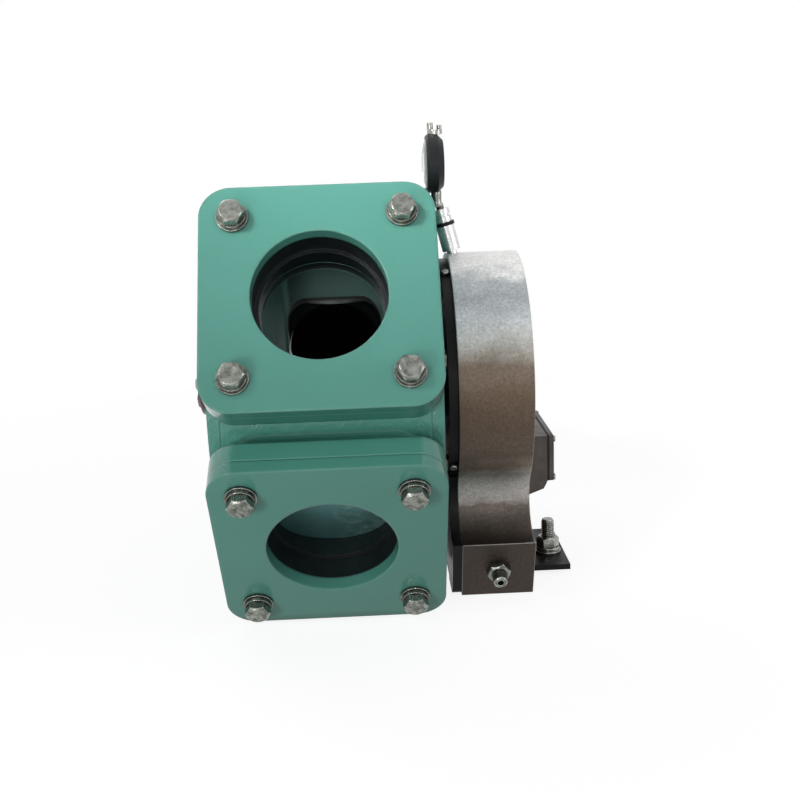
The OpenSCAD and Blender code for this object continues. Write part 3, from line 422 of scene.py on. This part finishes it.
def plug_metal():
    """Turned and scuffed outside; inside a casting painted far paler as painted light, with painted shade by one
    corner; the cut edges at the openings painted near black as painted shade.
    """
    g = Graph("plug_metal")
    streaks = g.noise(150.0, 8.0, 0.8, g.stretch((1.0, 2.2, 0.6), (0.0, 0.5, 0.3)))
    place = g.waver(g.along_axis(), g.noise(30.0, 3.0), 0.3, 0.7, 0.02)
    scuff = g.math("MULTIPLY", g.remap(streaks, 0.47, 0.60), g.remap(place, 0.0, 0.022, 0.15))
    turned = g.mix(g.noise(16.0, 4.0), (0.066, 0.175, 0.180), (0.105, 0.250, 0.250))
    turned = g.tint(turned, scuff, 0.55, (0.30, 0.44, 0.43))

    # The drum's inside: a cast finish of its own, painted far paler as painted light that stands in for light
    # inside the drum.
    casting = g.mix(g.noise(22.0, 4.0), (0.300, 0.540, 0.500), (0.420, 0.680, 0.640))
    # Painted shade: darker on the inside wall next to the flat side, where the corner's shade falls.
    painted_corner_shade = g.grey_ramp(g.remap(g.along_axis(), -0.060, 0.040), (
        (0.13, 1.0), (0.17, 0.35), (0.28, 0.45), (0.45, 0.80), (0.90, 0.95),
    ))
    casting = g.mix(1.0, casting, painted_corner_shade, "MULTIPLY")

    distance = g.axis_distance()
    outside = g.remap(distance, DRUM_INNER_R, DRUM_INNER_R + 0.004)
    past_casting = g.remap(distance, DRUM_RIM_R, DRUM_RIM_R + 0.0004)
    before_face = g.remap(distance, PLUG_R - 0.0004, PLUG_R - 0.0001, 1.0, 0.0)
    colour = g.mix(outside, casting, turned)
    # Painted shade: the cut faces round the openings are painted near black.
    colour = g.mix(g.math("MULTIPLY", past_casting, before_face), colour, (0.020, 0.030, 0.030))
    g.round_edges(0.0008)
    g.bump(g.grain((900.0, 30.0, 30.0)), 0.00025, 0.5)
    rough = g.math("MAXIMUM", g.between(scuff, 0.40, 0.58), g.between(outside, 0.75, 0.40))
    return g.finish(colour, rough, metallic=g.math("MULTIPLY", outside, 0.5))


def fastener(name, light, dark, rough_low=0.2, rough_high=0.42):
    """Plated steel: dull patches, painted shade in the corners, paler edges as wear and painted highlight, and
    undersides paler as painted light.
    """
    g = Graph(name)
    patch = g.remap(g.noise(190.0, 4.0, 0.7), 0.38, 0.62)
    colour = g.mix(patch, dark, light)
    # Painted light: faces that look down are paler, as if lit from the bright floor.
    painted_underside_light = g.remap(g.facing_up(), -0.85, -0.58, 0.55, 0.0)
    colour = g.mix(painted_underside_light, colour, scaled(light, 1.5))
    g.round_edges(0.0009)
    # Bright rims: partly wear, partly a painted highlight.
    colour = g.tint(colour, g.worn_and_highlit_edges(), 0.65, scaled(light, 2.2))
    # Painted shade: near black in tight corners.
    colour = g.mix(g.openness(0.006, 0.35, 0.9), scaled(dark, 0.25), colour)
    g.bump(g.grain((2600.0, 500.0, 2600.0)), 0.00006, 0.6)
    rough = g.between(patch, rough_high, rough_low)
    return g.finish(colour, rough, metallic=0.95)


def black_paint():
    """Matt black plates with a little dust."""
    g = Graph("black_plate")
    dust = g.remap(g.noise(60.0, 5.0, 0.65), 0.45, 0.75)
    colour = g.tint((0.005, 0.005, 0.005), dust, 0.35, (0.022, 0.020, 0.019))
    g.round_edges(0.0007)
    g.bump(g.noise(420.0, 3.0), 0.0002, 0.6)
    return g.finish(colour, g.between(dust, 0.38, 0.60), specular=0.15)


def sleeve_black():
    """Dark moulded sleeve, worn paler in patches."""
    g = Graph("sleeve_black")
    worn = g.remap(g.noise(110.0, 5.0, 0.6), 0.5, 0.8)
    colour = g.tint((0.006, 0.009, 0.010), worn, 0.4, (0.026, 0.034, 0.034))
    g.round_edges(0.0006)
    g.bump(g.noise(700.0, 2.0), 0.00012, 0.5)
    return g.finish(colour, g.between(worn, 0.42, 0.62), specular=0.35)


def rubber():
    """Seals and gaskets, with a grey bloom."""
    g = Graph("black_rubber")
    bloom = g.remap(g.noise(90.0, 4.0), 0.4, 0.8)
    colour = g.tint((0.010, 0.010, 0.010), bloom, 0.5, (0.035, 0.035, 0.036))
    g.bump(g.noise(800.0, 2.0), 0.0001, 0.5)
    return g.finish(colour, 0.7, specular=0.3)


def bronze():
    """Turned bearing bronze."""
    g = Graph("bronze")
    tone = g.remap(g.noise(130.0, 4.0, 0.6), 0.3, 0.7)
    colour = g.mix(tone, (0.30, 0.19, 0.085), (0.50, 0.36, 0.19))
    g.round_edges(0.0004)
    g.bump(g.grain((400.0, 2000.0, 400.0)), 0.00006, 0.6)
    return g.finish(colour, g.between(tone, 0.42, 0.24), metallic=0.95)


def cap_red():
    """Dark red moulded cap, dusty in patches."""
    g = Graph("cap_red")
    colour = g.mix(g.noise(45.0, 3.0), (0.040, 0.006, 0.010), (0.085, 0.012, 0.020))
    dust = g.remap(g.noise(240.0, 4.0, 0.65), 0.58, 0.78)
    colour = g.tint(colour, dust, 0.3, (0.20, 0.15, 0.14))
    g.round_edges(0.0010)
    g.bump(g.noise(500.0, 2.0), 0.0001, 0.5)
    return g.finish(colour, g.between(dust, 0.22, 0.5), coat=0.3)


def box_dark():
    """Painted die casting of the connection box."""
    g = Graph("box_dark")
    cloud = g.remap(g.noise(48.0, 4.0, 0.6), 0.32, 0.7)
    colour = g.mix(cloud, (0.045, 0.037, 0.032), (0.095, 0.080, 0.070))
    g.round_edges(0.0009)
    g.bump(g.noise(520.0, 3.0), 0.00022, 0.7)
    return g.finish(colour, g.between(cloud, 0.5, 0.36), metallic=0.45)


def moulded(name, dark, light, rough, specular=0.5):
    """Plain moulded plastic between two tones."""
    g = Graph(name)
    tone = g.remap(g.noise(60.0, 3.0), 0.3, 0.7)
    colour = g.mix(tone, dark, light)
    g.round_edges(0.0005)
    g.bump(g.noise(900.0, 2.0), 0.00008, 0.6)
    return g.finish(colour, g.between(tone, rough, rough + 0.1), specular=specular)


def polished():
    """Bright turned barrel with a dull haze in places."""
    g = Graph("barrel_bright")
    haze = g.remap(g.noise(150.0, 4.0, 0.6), 0.35, 0.75)
    colour = g.mix(haze, (0.62, 0.63, 0.63), (0.84, 0.84, 0.83))
    g.round_edges(0.0006)
    g.bump(g.grain((500.0, 500.0, 3200.0)), 0.00005, 0.5)
    return g.finish(colour, g.between(haze, 0.30, 0.14), metallic=0.9)


def clear_glass():
    """The gauge's window, slightly smeared."""
    g = Graph("glass")
    smear = g.remap(g.noise(85.0, 4.0, 0.6), 0.45, 0.8)
    colour = g.mix(smear, (0.93, 0.96, 0.97), (0.88, 0.91, 0.92))
    g.shader.inputs["Transmission Weight"].default_value = 0.95
    g.shader.inputs["IOR"].default_value = 1.46
    return g.finish(colour, g.between(smear, 0.03, 0.12))


def dial_face():
    """White dial with a faint print grain; its marks are a piece of their own."""
    g = Graph("dial_white")
    fine = g.noise(700.0, 3.0)
    colour = g.mix(fine, (0.78, 0.78, 0.75), (0.86, 0.86, 0.84))
    g.bump(fine, 0.00003, 0.4)
    return g.finish(colour, 0.5)


MATERIALS = {
    "green_paint": green_paint(),
    "cast_silver": cast_silver(),
    "plug_metal": plug_metal(),
    "steel": fastener("steel", (0.30, 0.315, 0.285), (0.100, 0.105, 0.092)),
    "zinc": fastener("zinc", (0.38, 0.38, 0.36), (0.19, 0.185, 0.17),
                     rough_low=0.18, rough_high=0.34),
    "black_plate": black_paint(),
    "sleeve_black": sleeve_black(),
    "black_rubber": rubber(),
    "bronze": bronze(),
    "cap_red": cap_red(),
    "box_dark": box_dark(),
    "block_cream": moulded("block_cream", (0.56, 0.51, 0.40), (0.66, 0.61, 0.50), rough=0.45),
    "barrel_bright": polished(),
    "gauge_black": moulded("gauge_black", (0.005, 0.006, 0.007), (0.014, 0.016, 0.018),
                           rough=0.40, specular=0.2),
    "dial_white": dial_face(),
    "glass": clear_glass(),
    "needle_black": moulded("needle_black", (0.010, 0.010, 0.010), (0.030, 0.028, 0.026),
                            rough=0.4),
}

for entry in frame["record"]["subparts"]:
    mesh = NODES[entry["node"]].data
    mesh.materials.clear()
    mesh.materials.append(MATERIALS[entry["material_slot"]])


# Pieces that the scene adds to the CAD nodes


def new_object(name, verts, faces):
    mesh = bpy.data.meshes.new(name)
    mesh.from_pydata([tuple(v) for v in verts], [], faces)
    added = bpy.data.objects.new(name, mesh)
    bpy.context.scene.collection.objects.link(added)
    return added


def add_piece(name, verts, faces, slot, body="valve"):
    """One mesh in the row frame that rides on a body."""
    piece = new_object(name, verts, faces)
    mesh = piece.data
    mesh.validate()
    build = bmesh.new()
    build.from_mesh(mesh)
    bmesh.ops.recalc_face_normals(build, faces=build.faces)
    build.to_mesh(mesh)
    build.free()
    mesh.materials.append(MATERIALS[slot])
    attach(piece, body)
    return piece


def lathe(profile, centre, steps):
    """Turns (radius, height) points round an upright axis and closes both ends."""
    verts = []
    for i in range(steps):
        angle = 2 * math.pi * i / steps
        for radius, height in profile:
            x, y = radius * math.cos(angle), radius * math.sin(angle)
            verts.append((centre.x + x, centre.y + y, height))
    rows = len(profile)
    faces = []
    for i in range(steps):
        near, far = i * rows, ((i + 1) % steps) * rows
        for j in range(rows - 1):
            faces.append((near + j, far + j, far + j + 1, near + j + 1))
    faces.append(tuple(i * rows for i in range(steps)))
    faces.append(tuple(i * rows + rows - 1 for i in reversed(range(steps))))
    return verts, faces


def smooth(piece, angle):
    """Smooth shading, except over edges sharper than the angle."""
    for face in piece.data.polygons:
        face.use_smooth = True
    piece.data.set_sharp_from_angle(angle=angle)


def stud_thread():
    """The bracket's stud with ridges at the thread's pitch and a chamfered upper end."""
    low, high = node_box("bracket_stud")
    crest = (high.x - low.x) / 2 - THREAD_INSET
    root = crest - THREAD_DEPTH
    profile = [(root, low.z)]
    for i in range(int((high.z - low.z - THREAD_TIP_CHAMFER) / THREAD_PITCH)):
        for share, on_crest in THREAD_SHAPE:
            profile.append((crest if on_crest else root, low.z + (i + share) * THREAD_PITCH))
    profile.append((crest - THREAD_TIP_CHAMFER / 2, high.z - THREAD_TIP_HEIGHT))
    profile.append((crest - THREAD_TIP_CHAMFER, high.z))
    verts, faces = lathe(profile, (low + high) / 2, THREAD_STEPS)
    stud = add_piece("stud_thread", verts, faces, "zinc")
    smooth(stud, math.radians(THREAD_SHARP_DEG))
    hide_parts("bracket_stud")


def tick_corners(inner, outer, half, turn):
    """The eight corners of one flat bar on the dial, back face first."""
    c, s = math.cos(turn), math.sin(turn)
    corners = []
    for x in (DIAL_TICK_BACK_X, DIAL_TICK_FRONT_X):
        for r, w in ((inner, -half), (outer, -half), (outer, half), (inner, half)):
            corners.append((x, PLUG_AXIS_Y - (r * s + w * c), GAUGE_Z + (r * c - w * s)))
    return corners


def dial_marks():
    """Scale ticks on the gauge's dial, which faces left."""
    verts, faces = [], []
    for i in range(DIAL_STEPS + 1):
        turn = math.radians(DIAL_START_DEG + DIAL_SWEEP_DEG * i / DIAL_STEPS)
        inner, half = next((r, w) for every, r, w in DIAL_TICK_KINDS if i % every == 0)
        base = len(verts)
        verts += tick_corners(inner, DIAL_TICK_OUTER_R, half, turn)
        faces += [tuple(base + corner for corner in face) for face in BAR_FACES]
    add_piece("dial_marks", verts, faces, "needle_black")


stud_thread()
dial_marks()


# Floor, surroundings, lights and camera


def background_white(nodes, links):
    """1 for rays that show the background itself: camera, mirror and glass rays."""
    path = nodes.new("ShaderNodeLightPath")
    total = path.outputs["Is Camera Ray"]
    for name in ("Is Glossy Ray", "Is Transmission Ray"):
        node = nodes.new("ShaderNodeMath")
        node.operation = "MAXIMUM"
        links.new(total, node.inputs[0])
        links.new(path.outputs[name], node.inputs[1])
        total = node.outputs[0]
    return total


def make_floor():
    """A pale floor that keeps the valve's shadow and looks white elsewhere."""
    verts = []
    for i in range(FLOOR_STEPS):
        angle = 2 * math.pi * i / FLOOR_STEPS
        x, y = FLOOR_R * math.cos(angle), FLOOR_R * math.sin(angle)
        verts.append((x, FLOOR_CENTRE_Y + y, FLOOR_Z))
    floor = new_object("floor", verts, [tuple(range(FLOOR_STEPS))])
    material = bpy.data.materials.new("floor_pale")
    nodes, links = empty_tree(material)
    output = nodes.new("ShaderNodeOutputMaterial")
    add = nodes.new("ShaderNodeAddShader")
    diffuse = nodes.new("ShaderNodeBsdfDiffuse")
    diffuse.inputs["Color"].default_value = (*FLOOR_COLOUR, 1.0)
    glow = nodes.new("ShaderNodeEmission")
    glow.inputs["Color"].default_value = (*FLOOR_WHITE, 1.0)
    links.new(background_white(nodes, links), glow.inputs["Strength"])
    links.new(diffuse.outputs[0], add.inputs[0])
    links.new(glow.outputs[0], add.inputs[1])
    links.new(add.outputs[0], output.inputs[0])
    floor.data.materials.append(material)


def make_world():
    """Weak even light, seen as white by camera, mirror and glass rays."""
    world = bpy.data.worlds.new("studio")
    bpy.context.scene.world = world
    nodes, links = empty_tree(world)
    output = nodes.new("ShaderNodeOutputWorld")
    mix = nodes.new("ShaderNodeMixShader")
    links.new(background_white(nodes, links), mix.inputs[0])
    for index, colour, strength in ((1, WORLD_COLOUR, WORLD_LIGHT), (2, WHITE, 1.0)):
        background = nodes.new("ShaderNodeBackground")
        background.inputs["Color"].default_value = (*colour, 1.0)
        background.inputs["Strength"].default_value = strength
        links.new(background.outputs[0], mix.inputs[index])
    links.new(mix.outputs[0], output.inputs[0])


def make_painted_shade_card():
    """A dark sheet far behind the valve, seen only through the open port: painted shade where the port's inside
    looks dark.
    """
    eye = Vector(CAMERA_AT)
    corners = []
    for x, z in (
        (-CARD_WINDOW_X, CARD_WINDOW_HIGH_Z),
        (CARD_WINDOW_X, CARD_WINDOW_HIGH_Z),
        (CARD_WINDOW_X, CARD_WINDOW_LOW_Z),
        (-CARD_WINDOW_X, CARD_WINDOW_LOW_Z),
    ):
        ray = Vector((x, CARD_WINDOW_Y, z)) - eye
        corners.append(eye + ray * ((CARD_Y - eye.y) / ray.y))
    card = new_object("far_painted_shade_card", corners, [(0, 1, 2, 3)])
    dark = Graph("card_painted_shade").finish((0.006, 0.003, 0.003), 1.0, specular=0.0)
    card.data.materials.append(dark)


def area_light(name, place, target, size, power, colour, spread):
    data = bpy.data.lights.new(name, "AREA")
    data.shape = "RECTANGLE"
    data.size, data.size_y = size
    data.energy = power
    data.color = colour
    data.spread = math.radians(spread)
    lamp = bpy.data.objects.new(name, data)
    bpy.context.scene.collection.objects.link(lamp)
    lamp.location = place
    aim = Vector(target) - Vector(place)
    lamp.rotation_euler = aim.to_track_quat("-Z", "Y").to_euler()
    lamp.visible_camera = False


def make_camera():
    about_z, about_x, about_y = CAMERA_TURN
    turn = (Matrix.Rotation(about_z, 3, "Z") @ Matrix.Rotation(about_x, 3, "X")
            @ Matrix.Rotation(about_y, 3, "Y"))
    right, forward, up = (Vector(row) for row in turn)
    place = Matrix((right, up, -forward)).transposed().to_4x4()
    place.translation = CAMERA_AT
    data = bpy.data.cameras.new("camera")
    data.sensor_width = SENSOR_MM
    data.lens = CAMERA_FOCAL_PX / IMAGE_PX * SENSOR_MM
    data.clip_start = 0.01
    data.clip_end = 50.0
    camera = bpy.data.objects.new("camera", data)
    bpy.context.scene.collection.objects.link(camera)
    camera.matrix_world = place
    bpy.context.scene.camera = camera


make_floor()
make_world()
make_painted_shade_card()
make_camera()
for light in LIGHTS:
    area_light(*light)

bpy.context.scene.view_settings.view_transform = "Standard"
